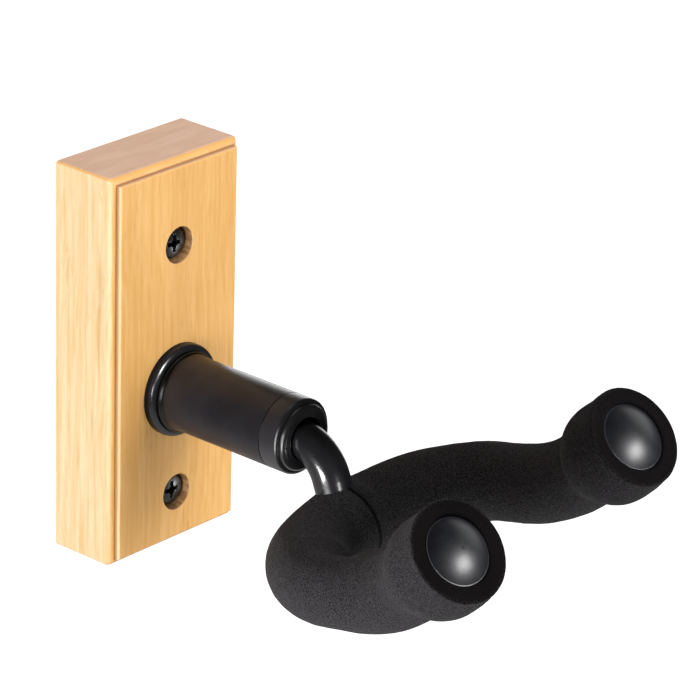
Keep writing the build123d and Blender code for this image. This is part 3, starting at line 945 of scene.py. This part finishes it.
# ---------------------------------------------------------------- floor and light
def floor_material():
    """Pale matt floor that glows for the camera alone, so that it shows as clean white."""
    g = Graph("studio_floor", Roughness=0.9)
    mottle = g.noise(g.position, 3.0, 3.0, 0.5)
    tone = g.mix(g.fit(mottle, 0.3, 0.7), (0.84, 0.84, 0.84), (0.88, 0.88, 0.88))
    seen = g.add("ShaderNodeLightPath").outputs["Is Camera Ray"]
    g.shader.inputs["Emission Color"].default_value = (1.0, 1.0, 1.0, 1.0)
    g.put(g.shader.inputs["Emission Strength"], seen)
    return g.give(Base_Color=tone)


FLOOR_Z = -0.9
FLOOR_REACH = 14.0
corner_ways = (-1, -1), (1, -1), (1, 1), (-1, 1)
floor_corners = [(x * FLOOR_REACH, y * FLOOR_REACH, FLOOR_Z) for x, y in corner_ways]
floor_mesh = bpy.data.meshes.new("floor")
floor_mesh.from_pydata(floor_corners, [], [(0, 1, 2, 3)])
floor_mesh.materials.append(floor_material())
floor = bpy.data.objects.new("floor", floor_mesh)
scene.collection.objects.link(floor)


WORLD_LIGHT = 0.06


def studio_world():
    """White to the eye, dim as a light, so that dark parts keep their depth."""
    world = bpy.data.worlds.new("studio")
    scene.world = world
    world.use_nodes = True
    tree = world.node_tree
    background = tree.nodes["Background"]
    background.inputs["Color"].default_value = (1.0, 1.0, 1.0, 1.0)
    path = tree.nodes.new("ShaderNodeLightPath")
    level = tree.nodes.new("ShaderNodeMapRange")
    level.inputs["To Min"].default_value = WORLD_LIGHT
    level.inputs["To Max"].default_value = 1.0
    tree.links.new(path.outputs["Is Camera Ray"], level.inputs["Value"])
    tree.links.new(level.outputs[0], background.inputs["Strength"])


studio_world()


LAMP_TARGET = Vector((0.0, -0.06, 0.0))


def softbox(name, direction, distance, width, height, level, lit, blockers=None):
    """A soft light on the collection lit; level is what a white matt surface facing it would show."""
    data = bpy.data.lights.new(name, "AREA")
    data.shape = "RECTANGLE"
    data.size = width
    data.size_y = height
    data.energy = level * (math.pi * distance) ** 2
    lamp = bpy.data.objects.new(name, data)
    way = Vector(direction).normalized()
    lamp.location = LAMP_TARGET + way * distance
    lamp.rotation_euler = way.to_track_quat("Z", "Y").to_euler()
    lamp.light_linking.receiver_collection = lit
    if blockers is not None:
        lamp.light_linking.blocker_collection = blockers
    scene.collection.objects.link(lamp)


def group(name, *members):
    """A collection that lamps are linked to."""
    collection = bpy.data.collections.new(name)
    for member in members:
        collection.objects.link(member)
    return collection


def meshes(*starts):
    """Mesh objects whose names begin with any of starts."""
    return [o for o in scene.objects if o.type == "MESH" and o.name.startswith(starts)]


# The wood, the foam and the black parts have lamps of their own, as with flags in a studio.
board = group("lit_board", nodes["wood_block"], floor)
domes = group("lit_domes", *meshes("tip_cap"))
foam_near = group("lit_near_foam", *meshes("foam_tube_left"))
foam_far = group("lit_far_foam", *meshes("foam_tube_right"))
foam_both = group("lit_foam", *meshes("foam_tube"))
collar = group("lit_collar", nodes["collar_ring"])
cap_lip = group("lit_cap_lip", *meshes("cap_shell"))
rod = group("lit_rod", nodes["swivel_stem"])
rod_and_collar = group("lit_rod_and_collar", nodes["swivel_stem"], nodes["collar_ring"])
screws = group("lit_screws", *meshes("wall_screw"))
bolt_set = nodes["fixing_bolt"], nodes["bolt_washer"]
behind = group("lit_behind", nodes["wood_block"], *bolt_set, *screws.objects)
lit_apart = {o for lit in (board, domes, foam_both, rod, collar) for o in lit.objects}
metal = group("lit_metal", *[o for o in meshes("") if o not in lit_apart])
# only these throw shadows in the light of the rod's lamps
housing = group("rod_shade", *meshes("tube_shell", "cap_shell"))

softbox("board_high", (0.28, -0.75, 0.74), 1.4, 0.85, 0.70, 0.70, board)
softbox("board_left", (-1.0, -0.22, 0.10), 1.5, 0.9, 0.9, 1.15, board)
softbox("board_right", (0.50, -1.0, 0.05), 1.5, 0.8, 0.8, 0.50, board)
softbox("board_top", (0.0, 0.1, 1.0), 1.5, 0.9, 0.9, 0.32, board)
softbox("board_back", (0.25, 1.0, 0.10), 1.5, 0.9, 0.9, 0.55, behind)
softbox("foam_left", (-0.82, 0.16, -0.55), 0.37, 0.15, 0.10, 0.78, foam_near)
softbox("foam_low", (-0.55, -0.60, -0.60), 1.4, 0.7, 0.6, 0.34, foam_near)
softbox("foam_top", (-0.45, 0.35, 1.0), 1.5, 0.8, 0.8, 0.48, foam_near)
softbox("far_left", (-0.62, -0.35, -0.70), 1.5, 0.5, 0.40, 0.72, foam_far)
softbox("far_low", (-0.30, -0.90, -0.25), 1.4, 0.7, 0.6, 0.22, foam_far)
softbox("far_top", (0.20, 0.40, 1.0), 1.5, 0.8, 0.8, 0.28, foam_far)
softbox("foam_right", (1.0, -0.12, 0.10), 1.5, 0.8, 0.8, 0.30, foam_both)
softbox("metal_key", (-0.88, -0.48, 0.0), 0.45, 0.30, 0.20, 0.80, metal)
softbox("metal_low", (-0.60, -0.10, -0.90), 1.5, 0.7, 0.7, 0.14, metal)
softbox("metal_back", (0.84, 0.58, 0.05), 1.8, 0.9, 0.8, 0.26, metal)
softbox("metal_top", (0.10, 0.10, 1.0), 1.5, 0.8, 0.8, 0.08, metal)
softbox("rod_key", (-0.95, -0.15, -0.42), 1.5, 0.45, 0.6, 2.60, rod, housing)
softbox("rod_front", (-0.07, -0.93, -0.38), 1.5, 0.22, 0.6, 2.00, rod, housing)
softbox("rod_back", (0.84, 0.58, 0.05), 1.8, 1.3, 1.0, 0.20, rod_and_collar)
softbox("ring_high", (-0.28, -0.77, 0.58), 1.5, 0.50, 0.50, 2.60, collar)
softbox("ring_left", (-0.78, -0.50, -0.39), 1.5, 0.40, 0.55, 0.75, cap_lip)
softbox("collar_left", (-0.85, -0.52, 0.05), 1.5, 0.35, 0.40, 0.70, collar)
softbox("screw_glint", (0.69, -0.60, -0.39), 1.5, 0.14, 0.14, 0.05, screws, screws)
softbox("dome_light", (0.22, -0.93, 0.30), 1.6, 0.75, 0.60, 1.20, domes)
softbox("dome_back", (0.88, -0.10, 0.42), 1.6, 1.1, 1.0, 0.14, domes)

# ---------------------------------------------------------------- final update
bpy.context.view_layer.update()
